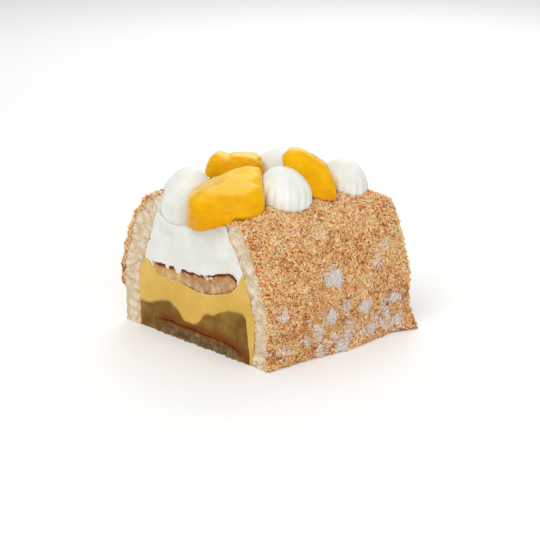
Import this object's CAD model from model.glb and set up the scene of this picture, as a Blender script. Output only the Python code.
# Looks for the log cake: cut faces, crumb coating, piped cream and peach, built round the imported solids.
import math
import random

import bmesh
import bpy
import numpy as np
from mathutils import Matrix, Vector, geometry, kdtree, noise
from mathutils.bvhtree import BVHTree


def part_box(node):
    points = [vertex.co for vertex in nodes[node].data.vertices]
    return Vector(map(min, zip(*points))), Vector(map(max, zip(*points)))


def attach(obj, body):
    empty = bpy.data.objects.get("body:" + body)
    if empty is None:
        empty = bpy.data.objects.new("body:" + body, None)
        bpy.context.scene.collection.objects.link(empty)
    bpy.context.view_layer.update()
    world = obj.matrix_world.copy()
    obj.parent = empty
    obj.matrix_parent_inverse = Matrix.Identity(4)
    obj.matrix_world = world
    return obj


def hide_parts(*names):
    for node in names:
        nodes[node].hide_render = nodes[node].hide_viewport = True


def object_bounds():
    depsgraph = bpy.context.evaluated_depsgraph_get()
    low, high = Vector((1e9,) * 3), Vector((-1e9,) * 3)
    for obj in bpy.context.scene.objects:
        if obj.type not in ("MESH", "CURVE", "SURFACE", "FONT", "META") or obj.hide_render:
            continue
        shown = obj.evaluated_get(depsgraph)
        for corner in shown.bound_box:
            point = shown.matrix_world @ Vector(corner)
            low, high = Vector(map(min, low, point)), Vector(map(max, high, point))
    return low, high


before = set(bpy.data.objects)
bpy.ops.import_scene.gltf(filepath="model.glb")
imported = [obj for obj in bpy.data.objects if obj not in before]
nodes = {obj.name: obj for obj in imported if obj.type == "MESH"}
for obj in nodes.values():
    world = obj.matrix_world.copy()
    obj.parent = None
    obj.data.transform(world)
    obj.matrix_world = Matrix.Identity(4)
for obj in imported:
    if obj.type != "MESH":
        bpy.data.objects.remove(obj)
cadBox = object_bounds()
mm = 0.001
up = Vector((0.0, 0.0, 1.0))
sharpFrom = math.radians(48.0)  # edges that turn more than this are shaded as edges
deepInside = 0.05  # the depth that a corner has when it isn't near a surface, in metres
farthestRay = 0.2
print("frame loaded:", len(nodes), "nodes")

# The two knife cuts: where each plane crosses the middle of the log, and its turn about Z
logMiddle = -3.152 * mm
cuts = {
    "front": {"y": -52.58 * mm, "skewDeg": 7.2, "facing": -1.0},
    "back": {"y": 55.82 * mm, "skewDeg": 3.5, "facing": 1.0},
}
for cut in cuts.values():
    turn = math.radians(cut["skewDeg"])
    cut["point"] = Vector((logMiddle, cut["y"], 0.0))
    cut["along"] = Vector((math.cos(turn), math.sin(turn), 0.0))
    cut["normal"] = Vector((-math.sin(turn), math.cos(turn), 0.0)) * cut["facing"]


# Shader helpers
def newMaterial(name):
    material = bpy.data.materials.new(name)
    material.use_nodes = True
    tree = material.node_tree
    return material, tree, tree.nodes["Principled BSDF"]


def addNode(tree, kind, inputs=None, **settings):
    # an input is linked where its value is another node's socket, and else set
    node = tree.nodes.new(kind)
    for key, value in settings.items():
        setattr(node, key, value)
    for key, value in (inputs or {}).items():
        if isinstance(value, bpy.types.NodeSocket):
            tree.links.new(value, node.inputs[key])
        else:
            node.inputs[key].default_value = value
    return node


def linear(value):
    value /= 255.0
    return value / 12.92 if value <= 0.04045 else ((value + 0.055) / 1.055) ** 2.4


def rgb(red, green, blue):
    # the sRGB values that a picture program shows, as a linear colour
    return (linear(red), linear(green), linear(blue), 1.0)


def place(tree):
    return addNode(tree, "ShaderNodeTexCoord").outputs["Object"]


def noiseOf(tree, scale, detail=3.0, rough=0.55):
    node = addNode(tree, "ShaderNodeTexNoise", {
        "Vector": place(tree), "Scale": scale, "Detail": detail, "Roughness": rough})
    return node.outputs["Fac"]


def mapRange(tree, value, low, high, toLow=0.0, toHigh=1.0):
    node = addNode(tree, "ShaderNodeMapRange", {
        "Value": value, "From Min": low, "From Max": high, "To Min": toLow, "To Max": toHigh})
    node.interpolation_type = "SMOOTHSTEP"
    return node.outputs["Result"]


def calc(tree, operation, first, second=0.0):
    return addNode(tree, "ShaderNodeMath", {0: first, 1: second}, operation=operation).outputs[0]


def mixColour(tree, share, first, second):
    return addNode(tree, "ShaderNodeMix", {0: share, 6: first, 7: second}, data_type="RGBA").outputs[2]


def washed(tree, colour, *washes):
    # lays tints over a colour, one after another, each by its own share
    for share, tint in washes:
        colour = mixColour(tree, share, colour, tint)
    return colour


def rampOf(tree, value, stops):
    node = addNode(tree, "ShaderNodeValToRGB", {"Fac": value})
    ramp = node.color_ramp
    while len(ramp.elements) < len(stops):
        ramp.elements.new(0.5)
    for element, (position, colour) in zip(ramp.elements, stops):
        element.position = position
        element.color = colour
    return node.outputs["Color"]


def maskOf(tree, name, strength=1.0):
    mask = addNode(tree, "ShaderNodeAttribute", attribute_name=name).outputs["Fac"]
    return mask if strength == 1.0 else calc(tree, "MULTIPLY", mask, strength)


def bumpOf(tree, height, strength, distance):
    return addNode(tree, "ShaderNodeBump", {
        "Height": height, "Strength": strength, "Distance": distance}).outputs["Normal"]


def feed(tree, shader, **sources):
    # links what changes over the surface to the shader's own sockets
    for key, source in sources.items():
        tree.links.new(source, shader.inputs[key.replace("_", " ")])


def setSurface(shader, specular, weight, radius, scale, roughness=None):
    # what is the same all over the surface: gloss, and how far light goes in (scale, in metres)
    for key, value in (("Specular IOR Level", specular), ("Subsurface Weight", weight),
                       ("Subsurface Radius", radius), ("Subsurface Scale", scale), ("Roughness", roughness)):
        if value is not None:
            shader.inputs[key].default_value = value


def newGroup(name, inputs, outputs):
    group = bpy.data.node_groups.new(name, "ShaderNodeTree")
    for label, kind, value in inputs:
        socket = group.interface.new_socket(label, in_out="INPUT", socket_type=kind)
        socket.default_value = value
    for label, kind in outputs:
        group.interface.new_socket(label, in_out="OUTPUT", socket_type=kind)
    return group, group.nodes.new("NodeGroupInput"), group.nodes.new("NodeGroupOutput")


def useGroup(tree, group, **values):
    inputs = {key.replace("_", " "): value for key, value in values.items()}
    return addNode(tree, "ShaderNodeGroup", inputs, node_tree=group)


def makeSugarGroup():
    # icing sugar: specks that close up into white patches where the Amount is high
    group, given, result = newGroup(
        "icingSugar", [("Amount", "NodeSocketFloat", 0.0), ("Speck Scale", "NodeSocketFloat", 1400.0)],
        [("Mask", "NodeSocketFloat")])
    specks = addNode(group, "ShaderNodeTexVoronoi", {
        "Vector": place(group), "Scale": given.outputs["Speck Scale"]})
    clumps = calc(group, "MULTIPLY", noiseOf(group, 900.0, 2.0), 0.5)
    spread = calc(group, "ADD", specks.outputs["Distance"], clumps)
    limit = calc(group, "MULTIPLY", given.outputs["Amount"], 1.15)
    mask = mapRange(group, calc(group, "SUBTRACT", limit, spread), -0.10, 0.18)
    group.links.new(mask, result.inputs["Mask"])
    return group


def makeToastGroup():
    # toasted crumb colour: one tone a flake, browner in patches, lighter where it is thin
    group, given, result = newGroup(
        "toastedCrumb", [("Tone", "NodeSocketFloat", 0.5), ("Browning", "NodeSocketFloat", 0.3)],
        [("Color", "NodeSocketColor"), ("Grain", "NodeSocketFloat")])
    grain = noiseOf(group, 1500.0, 4.0)
    uneven = calc(group, "MULTIPLY", calc(group, "SUBTRACT", grain, 0.5), 0.45)
    patches = calc(group, "SUBTRACT", noiseOf(group, 70.0, 2.0), 0.45)
    brown = calc(group, "MULTIPLY", calc(group, "MULTIPLY", patches, given.outputs["Browning"]), 2.0)
    tone = calc(group, "SUBTRACT", calc(group, "ADD", given.outputs["Tone"], uneven), brown)
    colour = rampOf(group, tone, [
        (0.00, rgb(160, 76, 26)), (0.22, rgb(224, 144, 80)), (0.48, rgb(252, 194, 128)),
        (0.74, rgb(254, 212, 154)), (1.00, rgb(255, 230, 194))])
    group.links.new(colour, result.inputs["Color"])
    group.links.new(grain, result.inputs["Grain"])
    return group


def makeCrumbGroup():
    # sponge crumb: fine pores of uneven size
    group, given, result = newGroup(
        "spongePores", [("Pore Scale", "NodeSocketFloat", 520.0)],
        [("Pores", "NodeSocketFloat"), ("Mottle", "NodeSocketFloat")])
    mottle = noiseOf(group, 260.0, 4.0)
    fine = noiseOf(group, given.outputs["Pore Scale"], 3.0, rough=0.65)
    pores = mapRange(group, calc(group, "ADD", fine, calc(group, "MULTIPLY", mottle, 0.25)), 0.50, 0.64)
    group.links.new(pores, result.inputs["Pores"])
    group.links.new(mottle, result.inputs["Mottle"])
    return group


sugarGroup = makeSugarGroup()
toastGroup = makeToastGroup()
crumbGroup = makeCrumbGroup()


# Materials, one for each finish
def makeCoatedSponge():
    # one finish for a side: pale sponge at the cut, toasted coating outside, browned inner skin
    material, tree, shader = newMaterial("coatedSponge")
    crumb = useGroup(tree, crumbGroup, Pore_Scale=560.0)
    toast = useGroup(tree, toastGroup, Tone=maskOf(tree, "tone"), Browning=0.35)
    dust = useGroup(tree, sugarGroup, Amount=maskOf(tree, "sugar"))
    sponge = rampOf(tree, crumb.outputs["Mottle"], [
        (0.30, rgb(210, 188, 154)), (0.50, rgb(220, 203, 175)), (0.70, rgb(231, 218, 197))])
    browned = mapRange(tree, noiseOf(tree, 110.0, 2.0), 0.42, 0.58, 0.25, 0.9)
    colour = washed(
        tree, sponge,
        (mapRange(tree, crumb.outputs["Pores"], 0.0, 1.0, 0.14, 0.0), rgb(172, 134, 88)),
        (maskOf(tree, "pit", 0.42), rgb(182, 142, 96)),
        (maskOf(tree, "crack", 0.4), rgb(172, 134, 90)),
        (calc(tree, "MULTIPLY", maskOf(tree, "skin"), browned), rgb(182, 116, 60)),
        (maskOf(tree, "smear"), rgb(226, 225, 217)),
        (maskOf(tree, "coated"), toast.outputs["Color"]),
        (dust.outputs["Mask"], rgb(250, 245, 240)))
    height = calc(tree, "ADD", calc(tree, "MULTIPLY", crumb.outputs["Pores"], 0.6), toast.outputs["Grain"])
    feed(tree, shader, Base_Color=colour, Normal=bumpOf(tree, height, 0.6, 0.4 * mm))
    setSurface(shader, 0.15, 0.12, (1.0, 0.6, 0.35), 1.2 * mm, 0.85)
    return material


def makeToastedFlake():
    material, tree, shader = newMaterial("toastedFlake")
    toast = useGroup(tree, toastGroup, Tone=maskOf(tree, "tone"), Browning=0.30)
    dust = useGroup(tree, sugarGroup, Amount=maskOf(tree, "sugar"))
    colour = mixColour(tree, dust.outputs["Mask"], toast.outputs["Color"], rgb(254, 246, 238))
    feed(tree, shader, Base_Color=colour, Normal=bumpOf(tree, toast.outputs["Grain"], 0.5, 0.2 * mm),
         Roughness=mapRange(tree, toast.outputs["Grain"], 0.3, 0.7, 0.45, 0.75))
    setSurface(shader, 0.25, 0.35, (1.0, 0.5, 0.25), 1.3 * mm)
    return material


def makeBakedSponge(name, crumbColours, crustColours, crustDepth, underDepth, stain):
    # a sponge layer at the cut: crumb between a baked crust above and a thin skin below
    material, tree, shader = newMaterial(name)
    dark, middle, light = crumbColours
    crust, underCrust, skinColour = crustColours
    crumb = useGroup(tree, crumbGroup, Pore_Scale=460.0)
    wobble = calc(tree, "MULTIPLY", calc(tree, "SUBTRACT", noiseOf(tree, 260.0, 4.0), 0.5), crustDepth * 2.6)
    depth = calc(tree, "ADD", maskOf(tree, "fromTop"), wobble)
    under = calc(tree, "ADD", maskOf(tree, "fromBottom"), wobble)
    skin = mapRange(tree, under, underDepth * 0.5, underDepth * 1.6, 0.85, 0.0)
    colour = washed(
        tree, rampOf(tree, crumb.outputs["Mottle"], [(0.25, dark), (0.48, middle), (0.72, light)]),
        (mapRange(tree, crumb.outputs["Pores"], 0.0, 1.0, 0.25, 0.0), dark),
        (maskOf(tree, "pit", 0.55), dark),
        (mapRange(tree, depth, crustDepth * 0.8, crustDepth * 2.6, 0.75, 0.0), underCrust),
        (mapRange(tree, depth, crustDepth * 0.5, crustDepth, 1.0, 0.0), crust),
        (calc(tree, "MULTIPLY", skin, maskOf(tree, "underSkin")), skinColour),
        (maskOf(tree, "smear"), stain),
        (maskOf(tree, "creamSpot"), rgb(228, 227, 218)))
    feed(tree, shader, Base_Color=colour, Normal=bumpOf(tree, crumb.outputs["Pores"], 0.7, 0.5 * mm))
    setSurface(shader, 0.10, 0.12, (1.0, 0.6, 0.3), 1.2 * mm, 0.8)
    return material


def makeCustard():
    # darker where it meets the apple, paler in a thin band under the sponge and cream
    material, tree, shader = newMaterial("setCustard")
    mottle = noiseOf(tree, 60.0, 3.0)
    colour = washed(
        tree, rampOf(tree, mottle, [
            (0.30, rgb(205, 163, 70)), (0.55, rgb(213, 174, 84)), (0.78, rgb(221, 186, 100))]),
        (mapRange(tree, maskOf(tree, "fromBottom"), 0.0, 1.5 * mm, 0.45, 0.0), rgb(170, 132, 60)),
        (mapRange(tree, maskOf(tree, "fromTop"), 0.0, 1.2 * mm, 0.40, 0.0), rgb(232, 208, 142)))
    feed(tree, shader, Base_Color=colour, Normal=bumpOf(tree, noiseOf(tree, 420.0, 3.0), 0.10, 0.4 * mm),
         Roughness=mapRange(tree, mottle, 0.3, 0.7, 0.32, 0.46))
    setSurface(shader, 0.16, 0.35, (1.0, 0.65, 0.2), 2.5 * mm)
    return material


def makeApple():
    # stewed apple set in its juice: soft chunks, brown and half clear, redder by the base
    material, tree, shader = newMaterial("stewedApple")
    soft = noiseOf(tree, 75.0, 3.0)
    fibre = noiseOf(tree, 330.0, 4.0)
    colour = washed(
        tree, rampOf(tree, soft, [
            (0.28, rgb(98, 66, 20)), (0.50, rgb(132, 99, 40)), (0.72, rgb(158, 126, 62))]),
        (mapRange(tree, fibre, 0.35, 0.7, 0.0, 0.35), rgb(106, 70, 20)),
        (maskOf(tree, "nearBase"), rgb(116, 54, 6)),
        (mapRange(tree, maskOf(tree, "fromTop"), 0.0, 1.3 * mm, 0.55, 0.0), rgb(172, 136, 62)))
    feed(tree, shader, Base_Color=colour, Normal=bumpOf(tree, fibre, 0.15, 0.4 * mm),
         Roughness=mapRange(tree, soft, 0.3, 0.7, 0.22, 0.42))
    setSurface(shader, 0.08, 0.3, (1.0, 0.55, 0.2), 2.0 * mm)
    return material


def makeCream():
    # whipped cream, stained a little where a piece of peach lies against it
    material, tree, shader = newMaterial("whippedCream")
    colour = washed(
        tree, rampOf(tree, noiseOf(tree, 90.0, 3.0), [
            (0.30, rgb(215, 216, 207)), (0.55, rgb(223, 224, 217)), (0.80, rgb(231, 232, 227))]),
        (mapRange(tree, maskOf(tree, "stain"), 0.0, 1.0, 0.0, 0.5), rgb(230, 206, 164)))
    pits = noiseOf(tree, 700.0, 4.0)
    feed(tree, shader, Base_Color=colour, Normal=bumpOf(tree, pits, 0.18, 0.3 * mm),
         Roughness=mapRange(tree, pits, 0.3, 0.7, 0.42, 0.60))
    setSurface(shader, None, 0.4, (1.0, 0.9, 0.75), 2.0 * mm)
    return material


def makePeach():
    # canned peach: wet, half clear, with faint fibres, paler on top and deeper below
    material, tree, shader = newMaterial("cannedPeach")
    fibre = noiseOf(tree, 260.0, 4.0)
    colour = washed(
        tree, rampOf(tree, noiseOf(tree, 55.0, 3.0), [
            (0.30, rgb(217, 154, 0)), (0.52, rgb(225, 170, 2)), (0.75, rgb(232, 184, 12))]),
        (mapRange(tree, fibre, 0.45, 0.75, 0.0, 0.14), rgb(234, 194, 40)),
        (maskOf(tree, "pale"), rgb(236, 208, 110)),
        (maskOf(tree, "deep"), rgb(216, 130, 2)))
    feed(tree, shader, Base_Color=colour, Normal=bumpOf(tree, fibre, 0.10, 0.5 * mm),
         Roughness=mapRange(tree, fibre, 0.3, 0.7, 0.16, 0.30))
    setSurface(shader, 0.08, 0.6, (1.0, 0.55, 0.10), 3.0 * mm)
    return material


def makeSugar():
    material, tree, shader = newMaterial("icingSugarGrain")
    colour = rampOf(tree, noiseOf(tree, 500.0, 2.0), [(0.3, rgb(250, 243, 236)), (0.7, rgb(255, 252, 248))])
    feed(tree, shader, Base_Color=colour)
    setSurface(shader, 0.2, 0.3, (1.0, 0.95, 0.9), 0.8 * mm, 0.8)
    return material


# Baked sponge: crumb colours, dark to light; crust, the band under it, lower skin; the depths of
# the crust and of the skin; and the colour of the stain at its ends
finishes = {
    "coatedSponge": makeCoatedSponge(),
    "toastedFlake": makeToastedFlake(),
    "baseSponge": makeBakedSponge(
        "baseSpongeCrumb", (rgb(84, 62, 36), rgb(116, 92, 60), rgb(150, 126, 88)),
        (rgb(100, 42, 6), rgb(140, 78, 30), rgb(150, 110, 66)), 1.3 * mm, 0.8 * mm, rgb(124, 90, 34)),
    "tierSponge": makeBakedSponge(
        "tierSpongeCrumb", (rgb(158, 116, 72), rgb(196, 162, 120), rgb(214, 188, 152)),
        (rgb(110, 48, 10), rgb(184, 112, 50), rgb(172, 98, 38)), 1.9 * mm, 1.0 * mm, rgb(216, 180, 110)),
    "custard": makeCustard(),
    "apple": makeApple(),
    "cream": makeCream(),
    "peach": makePeach(),
    "sugar": makeSugar(),
}
print("materials made:", len(finishes))


# Mesh helpers
def solidOf(name):
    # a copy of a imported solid, with the corners welded that its file splits
    shape = bmesh.new()
    shape.from_mesh(nodes[name].data)
    bmesh.ops.remove_doubles(shape, verts=shape.verts, dist=0.002 * mm)
    bmesh.ops.recalc_face_normals(shape, faces=shape.faces)
    return shape


def alongCut(point, cut):
    return (point - cut["point"]).dot(cut["along"])


def beyondCut(point, cut):
    return (point - cut["point"]).dot(cut["normal"])


def onCut(point, cut, near=0.05 * mm):
    return abs(beyondCut(point, cut)) < near


def cutAt(point, near=0.05 * mm):
    return next((cut for cut in cuts.values() if onCut(point, cut, near)), None)


def splitRim(shape, step):
    # adds corners along the open rim, so that no rim edge is longer than the step
    for edge in [e for e in shape.edges if e.is_boundary]:
        start, end = edge.verts
        parts = max(1, round(edge.calc_length() / step))
        for k in range(parts - 1):
            made = bmesh.utils.edge_split(edge, start, 1.0 / (parts - k))[1]
            edge = next(e for e in made.link_edges if e.other_vert(made) is end)
            start = made


# The net on a cut face, as shares of its step
cutNet = {
    "rowStep": 0.866,  # the height of an even triangle
    "jitter": 0.22,
    "clearance": 0.62,  # from the rim
}


def refineCut(shape, cut, step, dice):
    # replaces the flat face that the knife left by an even net of small triangles
    flat = [f for f in shape.faces
            if f.normal.dot(cut["normal"]) > 0.995 and onCut(f.calc_center_median(), cut)]
    bmesh.ops.delete(shape, geom=flat, context="FACES")
    splitRim(shape, step)
    rim = [e for e in shape.edges if e.is_boundary]
    corners = list({v for e in rim for v in e.verts})
    corners.sort(key=lambda v: (v.co.x, v.co.z, v.co.y))
    number = {v: k for k, v in enumerate(corners)}
    points = [Vector((alongCut(v.co, cut) / mm, v.co.z / mm)) for v in corners]
    close = kdtree.KDTree(len(points))
    for k, p in enumerate(points):
        close.insert((p.x, p.y, 0.0), k)
    close.balance()
    net, rowStep, jitter = step / mm, cutNet["rowStep"], cutNet["jitter"]
    low = (min(p.x for p in points), min(p.y for p in points))
    high = (max(p.x for p in points), max(p.y for p in points))
    for row in range(int((high[1] - low[1]) / (net * rowStep)) + 1):
        for column in range(int((high[0] - low[0]) / net) + 1):
            u = low[0] + net * (column + 0.5 * (row % 2) + dice.uniform(-jitter, jitter))
            v = low[1] + net * (row * rowStep + dice.uniform(-jitter, jitter))
            if close.find((u, v, 0.0))[2] > cutNet["clearance"] * net:
                points.append(Vector((u, v)))
    ties = [(number[e.verts[0]], number[e.verts[1]]) for e in rim]
    flatVerts, _, faces, origin, _, _ = geometry.delaunay_2d_cdt(points, ties, [], 1, 1e-6)
    made = {}
    for k in sorted({k for face in faces for k in face}):
        known = [n for n in origin[k] if n < len(corners)]
        spot = cut["point"] + cut["along"] * flatVerts[k].x * mm + up * flatVerts[k].y * mm
        made[k] = corners[known[0]] if known else shape.verts.new(spot)
    for face in faces:
        shape.faces.new([made[k] for k in face])
    return list(made.values()), set(corners)


def splitLargeFaces(shape):
    bmesh.ops.triangulate(shape, faces=[f for f in shape.faces if len(f.verts) > 4])
    shape.normal_update()


def gapTo(solid, point, direction):
    hit = solid.ray_cast(point, direction, farthestRay)
    return hit[3] if hit[0] is not None else deepInside


def depthsAt(solid, cut, net, rim, directions):
    # how far each corner of a cut face is from the solid's surface, in each of the directions
    depths = {key: {} for key in directions}
    for vert in net:
        if vert not in rim:
            inside = vert.co - cut["normal"] * 0.6 * mm
            for key, direction in directions.items():
                depths[key][vert] = gapTo(solid, inside, direction)
    for vert in rim:
        beside = [e.other_vert(vert) for e in vert.link_edges]
        beside = [v for v in beside if v not in rim]
        for values in depths.values():
            known = [values[v] for v in beside if v in values]
            values[vert] = max(0.0, min(known) - 0.5 * layers["netStep"]) if known else 0.0
    return depths


def fractal(point, scale, octaves=3):
    return noise.fractal(point * scale, 0.7, 2.0, octaves)


def cell(point, scale):
    return noise.voronoi(point * scale)[0][0]


def smoothStep(low, high, value):
    share = min(1.0, max(0.0, (value - low) / (high - low)))
    return share * share * (3.0 - 2.0 * share)


def newObject(name, data):
    thing = bpy.data.objects.new(name, data)
    bpy.context.scene.collection.objects.link(thing)
    return thing


def finished(name, shape, finish, replaced, masks):
    # turns a bmesh into a piece: sharp edges, nothing past the solids' box, one value a corner
    bmesh.ops.recalc_face_normals(shape, faces=shape.faces)
    for edge in shape.edges:
        edge.smooth = edge.calc_face_angle(0.0) < sharpFrom
    for vert in shape.verts:
        for axis in range(3):
            vert.co[axis] = min(max(vert.co[axis], cadBox[0][axis]), cadBox[1][axis])
    mesh = bpy.data.meshes.new(name)
    shape.to_mesh(mesh)
    values = {label: [known.get(v, known.get(None, 0.0)) for v in shape.verts]
              for label, known in masks.items()}
    shape.free()
    handOver(name, mesh, finish, values, replaced)


def handOver(name, mesh, finish, masks, replaced=()):
    # writes the masks that the material reads, and hands the piece to the frame
    for label, values in masks.items():
        layer = mesh.attributes.new(label, "FLOAT", "POINT")
        layer.data.foreach_set("value", values)
    mesh.polygons.foreach_set("use_smooth", [True] * len(mesh.polygons))
    mesh.materials.append(finishes[finish])
    piece = newObject(name, mesh)
    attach(piece, "root")
    if replaced:
        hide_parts(*replaced)
    print("made", name, len(mesh.polygons), "faces")


# The layers at the cut. Noise scales are waves a metre, here and below.
layers = {
    "netStep": 0.55 * mm,  # size of the triangles on the cut faces
    "creamSwell": 0.30 * mm,  # how far the knife left each layer uneven
    "creamPit": 0.5 * mm,
    "custardSwell": 0.22 * mm,
    "appleSwell": 0.75 * mm,
    "poreDepth": 0.55 * mm,
    "crustBand": 1.8 * mm,  # no pores above this depth
    "crustRise": 0.35 * mm,
    "overlap": 0.16 * mm,  # each layer grows this much, so that neighbours touch
    "soaked": 6.5 * mm,  # how far in the base's ends took up juice
    "reddened": 9.0 * mm,  # how far from the base the apple is redder
    "ripple": 0.6 * mm,  # the seam between custard and apple
    "seamWaves": ((0.7 * mm, 260.0, 0.0), (0.5 * mm, 700.0, 3.0)),  # tier to cream: height, scale, seed
    "footCrumb": 1.0 * mm,  # crumbs that stand out along the foot of the cut
    "footHeight": 3.0 * mm,
    # cream in the broken crust: (along the cut, half width, depth), in millimetres
    "notches": ((-19.0, 1.7, 2.0), (-11.0, 2.9, 3.2), (10.5, 1.2, 0.9)),
    # spots of cream on the crumb: (along the cut, depth, radius), in millimetres
    "creamBlobs": ((12.3, 1.6, 1.3), (15.0, 1.4, 0.7), (-3.5, 2.0, 0.6), (3.0, 1.8, 0.5), (18.5, 2.0, 0.5)),
}


def swellOfCream(point, fromTop):
    drag = fractal(Vector((point.x * 0.35, point.y, point.z * 1.3)), 110.0)
    pit = smoothStep(0.18, 0.05, cell(point, 130.0)) * smoothStep(0.2, 0.5, noise.noise(point * 60.0))
    return layers["creamSwell"] * drag - layers["creamPit"] * pit


def swellOfCustard(point, fromTop):
    return layers["custardSwell"] * fractal(point, 70.0, 2)


def swellOfApple(point, fromTop):
    lump = fractal(point, 95.0)
    seam = smoothStep(0.16, 0.0, abs(cell(point + Vector((3.1, 0.0, 1.7)), 62.0) - 0.42))
    return layers["appleSwell"] * (0.7 * lump - 0.35 * seam)


def pitAt(point):
    # torn sponge: puffs of one to two millimetres, from 0 on a puff to 1 in the gaps between them
    warped = point + Vector((1.0, 1.0, 1.0)) * 0.5 * mm * noise.noise(point * 500.0)
    puffs = smoothStep(0.25, 0.75, cell(warped, 620.0))
    return puffs * smoothStep(-0.35, 0.25, noise.noise(point * 260.0))


def swellOfSponge(point, fromTop):
    tear = fractal(point, 240.0)
    crust = smoothStep(layers["crustBand"], 0.6 * mm, fromTop)
    pit = pitAt(point) * (1.0 - crust)
    return layers["poreDepth"] * (0.35 * tear - pit) + layers["crustRise"] * crust * tear


def raggedFoot(point):
    near = smoothStep(layers["footHeight"], 0.0, point.z)
    return layers["footCrumb"] * near * (0.3 + fractal(point, 420.0))


def swellOfBase(point, fromTop):
    return swellOfSponge(point, fromTop) + raggedFoot(point)


def seamShift(point, cut):
    # the crust of the sponge tier is broken, and cream has run into its notches
    u = alongCut(point, cut)
    phase = 0.0 if cut["facing"] < 0 else 7.0
    ragged = 0.0
    for height, scale, seed in layers["seamWaves"]:
        ragged += height * noise.noise(Vector((u * scale, phase, seed)))
    for centre, width, depth in layers["notches"]:
        ragged -= 0.35 * depth * mm * math.exp(-(((u / mm) * -cut["facing"] - centre) / width) ** 2)
    return ragged


def buildLayer(node, swell, seed, marks=None):
    # a layer with new cut faces, and the masks that its material reads
    dice = random.Random(seed)
    shape = solidOf(node)
    solid = BVHTree.FromBMesh(shape)
    masks = {"fromTop": {None: deepInside}, "fromBottom": {None: deepInside}}
    for cut in cuts.values():
        net, rim = refineCut(shape, cut, layers["netStep"], dice)
        for key, values in depthsAt(solid, cut, net, rim, {"fromTop": up, "fromBottom": -up}).items():
            masks[key].update(values)
    splitLargeFaces(shape)
    moves = {}
    for vert in shape.verts:
        cut = cutAt(vert.co)
        grow = vert.normal.copy()
        if vert.co.z < 0.1 * mm:
            grow.z = 0.0
        if cut:
            fromTop = masks["fromTop"].get(vert, deepInside)
            grow -= cut["normal"] * grow.dot(cut["normal"])
            moves[vert] = grow * layers["overlap"] + cut["normal"] * swell(vert.co, fromTop)
            if marks:
                for key, value in marks(vert.co, cut, fromTop).items():
                    masks.setdefault(key, {None: 0.0})[vert] = value
        else:
            moves[vert] = grow * layers["overlap"]
    for vert, move in moves.items():
        vert.co += move
    return shape, masks


def keepAboveFloor(shape):
    for vert in shape.verts:
        vert.co.z = max(0.0, vert.co.z)


def tierMarks(point, cut, fromTop):
    # cream in the notches and in spots, and custard over the crumb towards the left
    u = alongCut(point, cut) * -cut["facing"] / mm
    depth = fromTop / mm
    fine = noise.noise(point * 420.0)
    spots = 0.0
    for centre, below, size in layers["creamBlobs"]:
        away = math.hypot(u - centre, (depth - below) * 1.3)
        spots = max(spots, smoothStep(size * 1.1, size * 0.6, away + 0.5 * fine))
    for centre, width, notchDepth in layers["notches"]:
        away = depth / notchDepth + ((u - centre) / width) ** 2 + 0.5 * fine
        spots = max(spots, smoothStep(1.15, 0.85, away))
    smear = 0.5 * smoothStep(1.0, -14.0, u + 3.0 * fine) * smoothStep(2.0, 3.4, depth + fine)
    smear = max(smear, 0.9 * smoothStep(3.0 * mm, 0.8 * mm, point.x - tierLow.x + 1.2 * mm * fine))
    skin = smoothStep(-8.0, -5.0, u + fine)
    return {"creamSpot": spots, "smear": smear, "underSkin": skin, "pit": pitAt(point)}


tierLow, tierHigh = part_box("sponge_tier")
baseLow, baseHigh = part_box("base_sponge")
baseTree = BVHTree.FromBMesh(solidOf("base_sponge"))


def baseMarks(point, cut, fromTop):
    # the ends of the base are soaked with the juice of the apple
    inward = min(point.x - baseLow.x, baseHigh.x - point.x) + 1.5 * mm * noise.noise(point * 300.0)
    smear = 0.9 * smoothStep(layers["soaked"], 0.5 * mm, inward)
    return {"underSkin": 0.6, "smear": smear, "pit": pitAt(point)}


def appleMarks(point, cut, fromTop):
    away = baseTree.find_nearest(point)[3] + 1.2 * mm * noise.noise(point * 160.0)
    over = smoothStep(-1.0 * mm, 6.0 * mm, point.x - baseLow.x)
    return {"nearBase": 0.9 * over * smoothStep(layers["reddened"], 0.5 * mm, away)}


def moveSeam(shape, depths, reach, inside=None):
    # moves the seam between tier and cream on both cut faces, less and less down to the reach
    shares = {v: smoothStep(reach, 0.0, d) for v, d in depths.items() if v is not None}
    for vert in shape.verts:
        cut = cutAt(vert.co, 2.0 * mm)
        if cut:
            share = shares.get(vert, 0.0) * (inside(vert.co.x) if inside else 1.0)
            if share > 0.0:
                vert.co.z += seamShift(vert.co, cut) * share


def overTier(x):
    # 1 over the tier and 0 beside it
    return smoothStep(tierLow.x - 2 * mm, tierLow.x + 1 * mm, x) * smoothStep(
        tierHigh.x + 2 * mm, tierHigh.x - 1 * mm, x)


def ripple(shape, depths):
    # the seam between custard and apple is uneven: both sides of it are moved alike
    for vert in shape.verts:
        depth = depths.get(vert)
        if depth is not None:
            wave = noise.noise(vert.co * 260.0) + 0.5 * noise.noise(vert.co * 640.0)
            vert.co.z += smoothStep(3.0 * mm, 0.0, depth) * layers["ripple"] * wave


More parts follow.
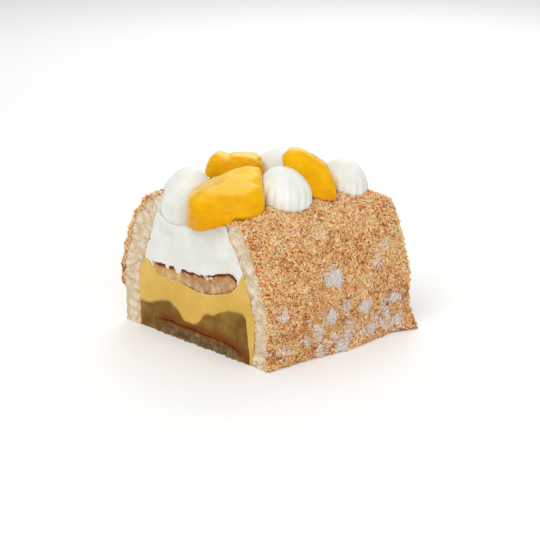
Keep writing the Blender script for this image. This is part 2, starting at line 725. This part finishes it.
# piece, node, finish, slot, how its cut faces swell, its masks, and what moves its seam
for seed, (name, node, finish, slot, swell, marks, seam) in enumerate((
        ("baseSponge", "base_sponge", "baseSponge", "sponge", swellOfBase, baseMarks, None),
        ("stewedApple", "apple_filling", "apple", "apple", swellOfApple, appleMarks, (ripple, "fromTop")),
        ("custard", "custard_layer", "custard", "custard", swellOfCustard, None, (ripple, "fromBottom")),
        ("spongeTier", "sponge_tier", "tierSponge", "sponge", swellOfSponge, tierMarks,
         (moveSeam, "fromTop", 5.0 * mm)),
        ("creamLayer", "cream_layer", "cream", "cream", swellOfCream, None,
         (moveSeam, "fromBottom", 6.0 * mm, overTier))), 11):
    shape, masks = buildLayer(node, swell, seed, marks)
    if seam:
        move, depthKey, *reach = seam
        move(shape, masks[depthKey], *reach)
    keepAboveFloor(shape)
    finished(name, shape, finish, [node], masks)


# The two coated sides
sides = {
    "coatCuts": 2,  # how often an edge of the coating is divided
    "coatRelief": 0.55 * mm,
    "bareRelief": 0.3,  # share of that relief where there is no coating
    "netStep": 0.42 * mm,
    "coatDepth": 1.8 * mm,
    "skinDepth": 0.9 * mm,
    "bareFoot": 20.0 * mm,  # the left side has no coating below this
    "crackHeights": (7.0, 13.5, 19.0, 26.5, 32.0, 38.5, 45.0, 50.5, 57.0, 64.0, 70.5),  # millimetres
    "crackDepth": 0.75 * mm,
    "grooveWidth": 2.4,  # millimetres
    "straggle": 1.0 * mm,  # how far the torn inner edge reaches over the filling
    "crumbDepth": 0.34 * mm,
    "coatEdgeDepth": 0.6 * mm,  # relief of the coating where the knife went through it
    "creamedAbove": 55.0 * mm,  # cream covers the inner faces above this
    # the front piece of peach presses the near end of the right side down: by how much, and
    # from where to where beyond the cut, in x and in z, in millimetres
    "pressed": 4.5,
    "pressedWhere": ((-10.0, -6.0), (33.0, 25.0), (66.0, 81.0)),
}
# Icing sugar on the right (1) and left (-1): (along the log, height, radius, strength), in millimetres
sugarPatches = {
    1: ((1.8, 41.4, 6.5, 1.0), (48.9, 20.5, 4.0, 0.9), (24.6, 20.5, 4.6, 0.9), (-1.1, 21.0, 5.0, 0.75),
        (-35.8, 30.0, 3.6, 0.7), (35.9, 44.0, 6.5, 0.55), (44.5, 52.8, 3.0, 0.6), (-18.7, 72.0, 2.5, 0.5),
        (-12.0, 15.0, 5.0, 0.75), (10.4, 9.0, 6.0, 0.7), (-19.0, 11.0, 5.0, 0.7), (30.0, 8.0, 7.0, 0.7),
        (48.0, 7.0, 6.0, 0.7), (-38.0, 12.0, 5.0, 0.5), (10.0, 24.0, 4.0, 0.6)),
    -1: ((-30.0, 38.0, 5.0, 0.8), (-6.0, 58.0, 4.0, 0.7), (16.0, 33.0, 6.0, 0.9), (36.0, 52.0, 4.0, 0.6),
         (4.0, 26.0, 5.0, 0.7), (42.0, 28.0, 5.0, 0.6), (-44.0, 27.0, 4.0, 0.6)),
}


def sugarAt(side, point):
    # a thin veil, thicker and cloudy towards the foot, with ragged patches
    cloud = noise.noise(point * 90.0) + 0.6 * noise.noise(point * 330.0)
    amount = 0.08 + 0.60 * smoothStep(40.0, 10.0, point.z / mm) * smoothStep(-0.3, 0.5, cloud)
    wobble = (2.4 * noise.noise(point * 260.0) + 3.4 * noise.noise(point * 120.0)
              + 1.5 * noise.noise(point * 560.0))
    for along, height, radius, strength in sugarPatches[side]:
        away = math.hypot(point.y / mm - along, point.z / mm - height) + wobble
        amount = max(amount, strength * smoothStep(radius * 1.7, radius * 0.2, away))
    return amount


def isBare(side, point):
    # down from a ragged line, the left side has no coating
    edge = sides["bareFoot"] + 3.0 * mm * noise.noise(point * 60.0) + 1.6 * mm * noise.noise(point * 280.0)
    return side < 0 and point.z < edge


def isOuter(face, side):
    if any(face.normal.dot(c["normal"]) > 0.99 for c in cuts.values()):
        return False
    return face.normal.x * side + 0.45 * face.normal.z > 0.05


def pressUnderPeach(shape):
    for vert in shape.verts:
        share = 1.0
        places = (beyondCut(vert.co, cuts["front"]), vert.co.x, vert.co.z)
        for value, (start, end) in zip(places, sides["pressedWhere"]):
            share *= smoothStep(start * mm, end * mm, value)
        vert.co.z -= sides["pressed"] * mm * share


def markCut(masks, cut, net, rim, depths, side, seed):
    # fills the masks on one cut face; returns its grooves (0 to 1) and the moves of its inner edge
    grooves, reach = {}, {}
    inward = Vector((-side, 0.0, 0.0))
    for vert in net:
        co = vert.co
        fromOutside, fromInside = depths["outside"][vert], depths["inside"][vert]
        innerRim = vert in rim and fromInside < 0.4 * mm
        ragged = 0.9 * mm * noise.noise(co * 330.0)
        if not isBare(side, co):
            masks["coated"][vert] = smoothStep(sides["coatDepth"] * 1.15, sides["coatDepth"] * 0.75,
                                               fromOutside + ragged)
        masks["skin"][vert] = smoothStep(sides["skinDepth"], 0.2 * mm, fromInside + ragged * 0.7)
        masks["tone"][vert] = 0.34 + 0.4 * noise.noise(co * 500.0)
        masks["pit"][vert] = pitAt(co)
        if innerRim:
            reach[vert] = inward * sides["straggle"] * (0.5 + noise.noise(co * 420.0))
            if co.z > sides["creamedAbove"]:
                masks["smear"][vert] = 1.0
        wave = 1.3 * noise.noise(Vector((co.x * 150.0, co.z * 40.0, seed)))
        near = min(abs(co.z / mm + wave - height) for height in sides["crackHeights"])
        shown = smoothStep(-0.3, 0.3, noise.noise(Vector((co.x * 120.0, co.z * 90.0, seed))))
        shown *= 0.45 + 0.55 * smoothStep(6.0 * mm, 1.0 * mm, fromInside)
        masks["crack"][vert] = shown * smoothStep(0.45, 0.08, near)
        grooves[vert] = shown * smoothStep(sides["grooveWidth"], 0.0, near)
    return grooves, reach


def buildSide(node, name, side, seed):
    dice = random.Random(seed)
    shape = solidOf(node)
    solid = BVHTree.FromBMesh(shape)
    outer = [f for f in shape.faces if isOuter(f, side)]
    bmesh.ops.subdivide_edges(shape, edges=list({e for f in outer for e in f.edges}),
                              cuts=sides["coatCuts"], use_grid_fill=True)
    shape.normal_update()
    coatVerts = {v for f in shape.faces if isOuter(f, side) for v in f.verts}
    masks = {"coated": {}, "tone": {None: 0.45}, "sugar": {}, "crack": {}, "skin": {}, "smear": {}, "pit": {}}
    cutOf, grooves, reach = {}, {}, {}
    ways = {"outside": Vector((side, 0.0, 0.35)).normalized(), "inside": Vector((-side, 0.0, 0.0))}
    for cut in cuts.values():
        net, rim = refineCut(shape, cut, sides["netStep"], dice)
        cutOf.update({vert: cut for vert in net})
        found = markCut(masks, cut, net, rim, depthsAt(solid, cut, net, rim, ways), side, seed)
        grooves.update(found[0])
        reach.update(found[1])
    splitLargeFaces(shape)
    soft = [v for v in coatVerts if v.is_valid and v not in cutOf]
    for _ in range(2):
        bmesh.ops.smooth_vert(shape, verts=soft, factor=0.5, use_axis_x=True, use_axis_y=True,
                              use_axis_z=True)
    shape.normal_update()
    moves = {}
    for vert in shape.verts:
        co = vert.co
        if vert in cutOf:
            coated = masks["coated"].get(vert, 0.0)
            push = swellOfSponge(co, deepInside) * (1.0 - coated) + sides["crumbDepth"] * fractal(co, 560.0)
            push += coated * sides["coatEdgeDepth"] * fractal(co, 420.0)
            push += raggedFoot(co) - grooves[vert] * sides["crackDepth"]
            moves[vert] = cutOf[vert]["normal"] * push + reach.get(vert, Vector())
        elif vert in coatVerts:
            bare = isBare(side, co)
            relief = sides["coatRelief"] * (sides["bareRelief"] if bare else 1.0)
            moves[vert] = vert.normal * relief * (fractal(co, 380.0) - 0.35)
            masks["coated"][vert] = 0.0 if bare else 1.0
            masks["tone"][vert] = 0.24 + 0.3 * noise.noise(co * 500.0)
            masks["sugar"][vert] = 0.0 if bare else sugarAt(side, co)
        elif co.z > sides["creamedAbove"]:
            masks["smear"][vert] = 1.0
    for vert, move in moves.items():
        vert.co += move
    if side > 0:
        pressUnderPeach(shape)
    keepAboveFloor(shape)
    shape.normal_update()

    def carriesGrain(face):
        # the outer face, and the band of coating at the cuts
        middle = face.calc_center_median()
        if middle.z <= 0.6 * mm or isBare(side, middle):
            return False
        if all(v in cutOf for v in face.verts):
            return all(masks["coated"].get(v, 0.0) > 0.6 for v in face.verts)
        return isOuter(face, side)

    carriers = [f for f in shape.faces if carriesGrain(f)]
    placed = {kind: scatterOn(carriers, grains["count"], dice) for kind, grains in grainKinds.items()}
    placed["sugarGrains"] = [spot for spot in placed["sugarGrains"]
                             if dice.random() < smoothStep(0.3, 0.95, sugarAt(side, spot[0]))]
    finished(name, shape, "coatedSponge", [node], masks)
    return placed


def scatterOn(faces, count, dice):
    # random places on the faces, more of them on larger faces, each with the face's normal
    corners = []
    for face in faces:
        ring = [v.co.copy() for v in face.verts]
        for k in range(1, len(ring) - 1):
            corners.append((ring[0], ring[k], ring[k + 1], face.normal.copy()))
    areas = np.array([geometry.area_tri(a, b, c) for a, b, c, _ in corners])
    picks = np.searchsorted(np.cumsum(areas), [dice.random() * areas.sum() for _ in range(count)])
    spots = []
    for pick in picks:
        a, b, c, normal = corners[min(int(pick), len(corners) - 1)]
        r, s = math.sqrt(dice.random()), dice.random()
        spots.append((a * (1 - r) + b * r * (1 - s) + c * r * s, normal))
    return spots


def flakeTemplate(dice):
    # a bent splinter of three rings with three corners each
    corners = []
    bend = dice.uniform(-0.5, 0.5)
    for along, reach in ((-1.0, 0.5), (0.0, 1.0), (1.0, 0.45)):
        for k in range(3):
            angle = 2.0 * math.pi * (k + dice.uniform(-0.2, 0.2)) / 3.0
            size = reach * dice.uniform(0.75, 1.2)
            corners.append((along * dice.uniform(0.8, 1.1), size * math.cos(angle) + bend * along ** 2,
                            size * math.sin(angle)))
    faces = [(0, 2, 1), (6, 7, 8)]
    for ring in (0, 3):
        for k in range(3):
            a, b = ring + k, ring + (k + 1) % 3
            faces += [(a, b, b + 3), (a, b + 3, a + 3)]
    return np.array(corners), np.array(faces)


def crumbTemplate(dice):
    # a rough lump with eight faces
    corners = [Vector(c) * dice.uniform(0.75, 1.2) for c in (
        (1, 0, 0), (0, 1, 0), (-1, 0, 0), (0, -1, 0), (0, 0, 1), (0, 0, -1))]
    faces = [(k, (k + 1) % 4, 4) for k in range(4)] + [((k + 1) % 4, k, 5) for k in range(4)]
    return np.array([c[:] for c in corners]), np.array(faces)


# The loose grains of the coating, on each side. Sizes and the rise above the surface are in
# millimetres; the tone is from 0, dark, to 1, pale: its mean, and how much it varies.
grainKinds = {
    "crumbFlakes": {
        "count": 11000, "length": (1.5, 3.6), "width": (0.95, 2.0), "thickness": (0.5, 1.0),
        "tiltDeg": 48.0, "rise": (0.05, 0.75), "tone": (0.62, 0.22),
        "template": flakeTemplate, "seed": 31, "finish": "toastedFlake"},
    "crumbGrains": {
        "count": 9000, "length": (0.8, 1.9), "width": (0.7, 1.4), "thickness": (0.5, 1.1),
        "tiltDeg": 90.0, "rise": (0.2, 0.95), "tone": (0.55, 0.26),
        "template": crumbTemplate, "seed": 33, "finish": "toastedFlake"},
    # only those that fall on a sugared spot are kept
    "sugarGrains": {
        "count": 95000, "length": (0.45, 1.15), "width": (0.45, 1.0), "thickness": (0.4, 0.8),
        "tiltDeg": 90.0, "rise": (0.6, 1.3), "tone": (0.5, 0.2),
        "template": crumbTemplate, "seed": 35, "finish": "sugar"},
}
coarseness = {1: 0.55, -1: 0.95}  # how much larger the largest grains are, right and left


def scattered(name, spots, settings, side):
    # builds one mesh of many grains, each laid on its spot, turned and tipped at random
    dice = random.Random(settings["seed"])
    templates = [settings["template"](dice) for _ in range(12)]
    verts, faces, tones, sugars = [], [], [], []
    start = 0
    low, high = (np.array(corner) for corner in cadBox)
    for spot, normal in spots:
        shapeVerts, shapeFaces = templates[dice.randrange(len(templates))]
        size = [dice.uniform(*settings[key]) * mm / 2.0 for key in ("length", "width", "thickness")]
        amount = sugarAt(side, spot)
        grow = (0.75 + coarseness[side] * dice.random() ** 2) * (1.0 - 0.35 * amount)
        local = shapeVerts * np.array(size) * grow
        facing = normal.to_track_quat("Z", "Y").to_matrix()
        spin = Matrix.Rotation(dice.uniform(0.0, 2.0 * math.pi), 3, "Z")
        tip = Matrix.Rotation(math.radians(dice.triangular(-1.0, 1.0, 0.0) * settings["tiltDeg"]), 3, "Y")
        turn = np.array(facing @ spin @ tip)
        centre = np.array(spot + normal * dice.uniform(*settings["rise"]) * mm)
        ready = local @ turn.T + centre
        verts.append(ready)
        faces.append(shapeFaces + start)
        start += len(ready)
        patch = 0.20 * noise.noise(spot * 130.0) - 0.12 * smoothStep(36.0, 8.0, spot.z / mm)
        tone = min(1.0, max(0.0, dice.gauss(*settings["tone"]) + patch))
        tones += [tone] * len(ready)
        sugars += [min(1.0, amount * dice.uniform(0.7, 1.35))] * len(ready)
    verts = np.clip(np.concatenate(verts), low + 0.02 * mm, high - 0.02 * mm)
    mesh = bpy.data.meshes.new(name)
    mesh.from_pydata(verts.tolist(), [], np.concatenate(faces).tolist())
    handOver(name, mesh, settings["finish"], {"tone": tones, "sugar": sugars})


for node, side, word in (("sponge_side_left", -1, "Left"), ("sponge_side_right", 1, "Right")):
    for kind, spots in buildSide(node, "coatedSide" + word, side, 21).items():
        scattered(kind + word, spots, grainKinds[kind], side)


# Piped cream
shells = {
    "ridges": 18,
    "ridgeDepth": 0.065,  # share of the radius
    "ridgesFade": (0.92, 0.40),  # share of the height
    "uneven": 0.035,  # share of the radius
    "rings": 84,
    "stepsAround": 200,
    "swell": ((0.00, 0.88), (0.14, 0.95), (0.34, 1.00), (0.54, 0.95), (0.72, 0.80), (0.86, 0.57),
              (0.95, 0.33), (1.00, 0.02)),  # height and radius, as shares
    "twist": 0.3,  # radians from foot to tip
    "intoPeach": 0.5 * mm,
    "overBed": 0.12 * mm,
    "stained": 3.0 * mm,
    # name: node, foot, radius, height, lean of the top (millimetres), how clear the ridges are,
    # and how far the foot is drawn in
    "pieces": {
        "pipedShellFrontLeft": (
            "cream_shell_front_left", (-24.35, -39.78, 63.0), 15.5, 32.8, (2.0, 2.0), 0.18, -0.10),
        "pipedShellMiddleRight": (
            "cream_shell_middle_right", (21.55, -6.58, 73.6), 15.6, 25.4, (-4.0, 1.0), 1.0, 0.24),
        "pipedShellBackLeft": (
            "cream_shell_back_left", (-22.15, 20.32, 64.0), 15.0, 31.5, (2.0, 2.0), 0.8, 0.10),
        "pipedShellBackRight": (
            "cream_shell_back_right", (20.35, 38.32, 71.0), 14.5, 24.5, (-3.0, 1.0), 0.9, 0.15),
    },
}


def curveThrough(knots, x):
    # smooth curve through the knots (Catmull-Rom on uneven steps)
    k = max(i for i in range(len(knots) - 1) if knots[i][0] <= x or i == 0)
    (x0, y0), (x1, y1) = knots[k], knots[k + 1]
    before = knots[k - 1] if k else (2 * x0 - x1, 2 * y0 - y1)
    after = knots[k + 2] if k + 2 < len(knots) else (2 * x1 - x0, 2 * y1 - y0)
    start = (y1 - before[1]) / (x1 - before[0])
    end = (after[1] - y0) / (after[0] - x0)
    t = (x - x0) / (x1 - x0)
    return ((2 * t ** 3 - 3 * t ** 2 + 1) * y0 + (t ** 3 - 2 * t ** 2 + t) * (x1 - x0) * start
            + (3 * t ** 2 - 2 * t ** 3) * y1 + (t ** 3 - t ** 2) * (x1 - x0) * end)


peachNames = [n for n in nodes if n.startswith("peach_")]
peachTrees = [BVHTree.FromBMesh(solidOf(n)) for n in peachNames]
bedTrees = [BVHTree.FromBMesh(solidOf(n)) for n in ("sponge_side_left", "sponge_side_right", "cream_layer")]


def onBed(point):
    # lifts a point that lies inside the cake up to its surface
    for tree in bedTrees:
        hit, normal, _, _ = tree.ray_cast(point, up, 0.04)
        if hit is not None and normal.z > 0.0:
            point = Vector((point.x, point.y, hit.z + shells["overBed"]))
    return point


def pressedBack(middle, spot):
    # where a peach lies in the way, the cream stops against it
    way = spot - middle
    for tree in peachTrees:
        hit, _, _, distance = tree.ray_cast(middle, way.normalized(), way.length)
        if hit is not None:
            way = way.normalized() * min(way.length, distance + shells["intoPeach"])
    return middle + way


def buildShell(name, node, foot, radius, height, lean, clear, drawnIn, seed):
    shape = bmesh.new()
    foot = Vector(foot) * mm
    rows = []
    count = shells["stepsAround"]
    for ring in range(shells["rings"]):
        share = math.sin(0.5 * math.pi * ring / (shells["rings"] - 1)) ** 0.9
        swell = curveThrough(shells["swell"], min(share, 0.9999)) - drawnIn * smoothStep(0.26, 0.0, share)
        shift = share ** 1.7
        middle = foot + Vector((lean[0] * shift, lean[1] * shift, height * share)) * mm
        ridgeDepth = shells["ridgeDepth"] * clear * smoothStep(*shells["ridgesFade"], share)
        row = []
        for k in range(count):
            angle = 2.0 * math.pi * k / count
            ridge = 1.0 - abs(math.cos(0.5 * shells["ridges"] * angle)) ** 0.85
            wander = noise.noise(Vector((math.cos(angle) * 1.3 + seed, math.sin(angle) * 1.3, share * 2.5)))
            reach = radius * mm * swell * (1.0 - ridgeDepth * ridge + shells["uneven"] * wander)
            around = angle + shells["twist"] * share
            spot = middle + Vector((math.cos(around), math.sin(around), 0.0)) * reach
            spot += up * 0.5 * mm * noise.noise(spot * 120.0)
            row.append(shape.verts.new(pressedBack(middle, spot)))
        rows.append(row)
    for low, high in zip(rows, rows[1:]):
        for k in range(count):
            shape.faces.new((low[k], low[(k + 1) % count], high[(k + 1) % count], high[k]))
    shape.faces.new(rows[0][::-1])
    tip = shape.verts.new(sum((v.co for v in rows[-1]), Vector()) / count + up * 0.2 * mm)
    for k in range(count):
        shape.faces.new((rows[-1][k], rows[-1][(k + 1) % count], tip))
    bmesh.ops.recalc_face_normals(shape, faces=shape.faces)
    bmesh.ops.triangulate(shape, faces=shape.faces)
    stains = {}
    for vert in shape.verts:
        vert.co = onBed(vert.co)
        for tree in peachTrees:
            hit = tree.find_nearest(vert.co, shells["stained"])
            if hit[0] is not None:
                stain = smoothStep(shells["stained"], 0.3 * mm, hit[3])
                stains[vert] = max(stains.get(vert, 0.0), stain)
    finished(name, shape, "cream", [node], {"stain": stains})


for number, (name, piece) in enumerate(shells["pieces"].items()):
    buildShell(name, *piece, seed=3.0 * number)


# Peach
peaches = {
    "settle": 1.6 * mm,  # gaps up to this below a peach are closed
    "voxel": 0.6 * mm,
    "rounding": {"peach_front_right": 20, "peach_middle_left": 5, "peach_back_right": 5,
                 "peach_back_left": 6},
    "lift": {"peach_front_right": 3.0 * mm},  # the far end of its top stands up a little
    "farEnd": Vector((0.643, 0.766, 0.0)),
    "grow": 0.25 * mm,  # makes up for what rounding takes off
    "fibre": 0.22 * mm,
    "ragged": 0.45 * mm,
    "pale": 0.45,  # how strong the colours of the top and of the foot are
    "deep": 0.42,
}


def treeOf(name):
    shape = bmesh.new()
    shape.from_mesh(bpy.data.objects[name].data)
    tree = BVHTree.FromBMesh(shape)
    shape.free()
    return tree


visibleBed = [treeOf(n) for n in ("coatedSideLeft", "coatedSideRight", "creamLayer")]


def buildPeach(node, name):
    # rounds the solid off, then lays soft fibres and a torn edge on it
    piece = newObject(name, nodes[node].data.copy())
    piece.modifiers.new("weld", "WELD").merge_threshold = 0.002 * mm
    remesh = piece.modifiers.new("even", "REMESH")
    remesh.mode = "VOXEL"
    remesh.voxel_size = peaches["voxel"]
    soften = piece.modifiers.new("soften", "SMOOTH")
    soften.factor = 0.5
    soften.iterations = peaches["rounding"][node]
    graph = bpy.context.evaluated_depsgraph_get()
    ready = bpy.data.meshes.new_from_object(piece.evaluated_get(graph))
    bpy.data.objects.remove(piece, do_unlink=True)
    shape = bmesh.new()
    shape.from_mesh(ready)
    shape.normal_update()
    masks = {"pale": {}, "deep": {}}
    low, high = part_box(node)
    for vert in shape.verts:
        steep = vert.normal.z
        if steep < 0.15:
            for tree in visibleBed:
                gap = gapTo(tree, vert.co, -up)
                if gap < peaches["settle"]:
                    vert.co.z -= gap * smoothStep(0.15, -0.05, steep)
        co = vert.co
        stretched = Vector((co.x * 0.35, co.y * 0.35, co.z * 1.4))
        move = peaches["fibre"] * fractal(stretched, 240.0) + peaches["ragged"] * noise.noise(co * 130.0)
        move += peaches["grow"]
        facingUp = steep + 0.35 * noise.noise(co * 100.0)
        height = (co.z - low.z) / (high.z - low.z)
        along = (co - (low + high) / 2.0).dot(peaches["farEnd"]) / (high - low).length
        lift = peaches["lift"].get(node, 0.0) * smoothStep(-0.15, 0.3, along) * smoothStep(0.5, 1.0, height)
        masks["pale"][vert] = peaches["pale"] * smoothStep(0.66, 0.98, facingUp)
        masks["deep"][vert] = peaches["deep"] * smoothStep(0.7, 0.0, height) * smoothStep(0.5, 0.0, steep)
        vert.co += vert.normal * move + up * lift
    finished(name, shape, "peach", [node], masks)


for node in sorted(peachNames):
    buildPeach(node, "peach" + "".join(word.capitalize() for word in node.split("_")[1:]))


# Floor, light and camera
setting = {
    "floorSize": 3.0,
    "floorColours": (rgb(244, 244, 243), rgb(240, 240, 239)),
    "skyStrength": 0.66,
    "lightAim": Vector((0.0, 0.0, 0.04)),
    # direction from the cake, distance, size and power
    "lights": {
        "keyLight": ((0.3, -0.9, 1.3), 0.9, 0.6, 3.2),
        "fillLight": ((1.2, -0.3, 0.6), 1.0, 0.9, 2.4),
        "rimLight": ((-0.8, 0.9, 0.9), 1.0, 0.8, 3.2),
    },
    "cameraTarget": Vector((-66.602, 56.88, 0.0)) * mm,
    "cameraDistance": 0.952,
    "cameraAzimuthDeg": 50.1,
    "cameraElevationDeg": 20.3,
    "lens": 100.0,
}


def addFloor():
    bpy.ops.mesh.primitive_plane_add(size=setting["floorSize"])
    floor = bpy.context.active_object
    floor.name = "floor"
    material, tree, shader = newMaterial("paleFloor")
    feed(tree, shader, Base_Color=mixColour(tree, noiseOf(tree, 3.0, 2.0), *setting["floorColours"]))
    shader.inputs["Roughness"].default_value = 0.7
    floor.data.materials.append(material)


def addAreaLight(name, direction, distance, size, power):
    light = bpy.data.lights.new(name, "AREA")
    light.shape = "DISK"
    light.size = size
    light.energy = power
    lamp = newObject(name, light)
    aim = setting["lightAim"]
    lamp.location = aim + Vector(direction).normalized() * distance
    lamp.rotation_euler = (aim - lamp.location).to_track_quat("-Z", "Y").to_euler()


def addCamera():
    camera = bpy.data.cameras.new("camera")
    camera.lens = setting["lens"]
    camera.sensor_width = 36.0
    camera.clip_end = 10.0
    eye = newObject("camera", camera)
    az, el = math.radians(setting["cameraAzimuthDeg"]), math.radians(setting["cameraElevationDeg"])
    back = Vector((math.sin(az) * math.cos(el), -math.cos(az) * math.cos(el), math.sin(el)))
    eye.location = setting["cameraTarget"] + back * setting["cameraDistance"]
    eye.rotation_euler = (-back).to_track_quat("-Z", "Y").to_euler()
    bpy.context.scene.camera = eye


bpy.context.scene.view_settings.view_transform = "Standard"
addFloor()
for name, values in setting["lights"].items():
    addAreaLight(name, *values)
world = bpy.data.worlds.new("softWorld")
world.use_nodes = True
sky = world.node_tree.nodes["Background"]
sky.inputs["Color"].default_value = (1.0, 1.0, 1.0, 1.0)
sky.inputs["Strength"].default_value = setting["skyStrength"]
bpy.context.scene.world = world
addCamera()
print("floor, lights and camera set")
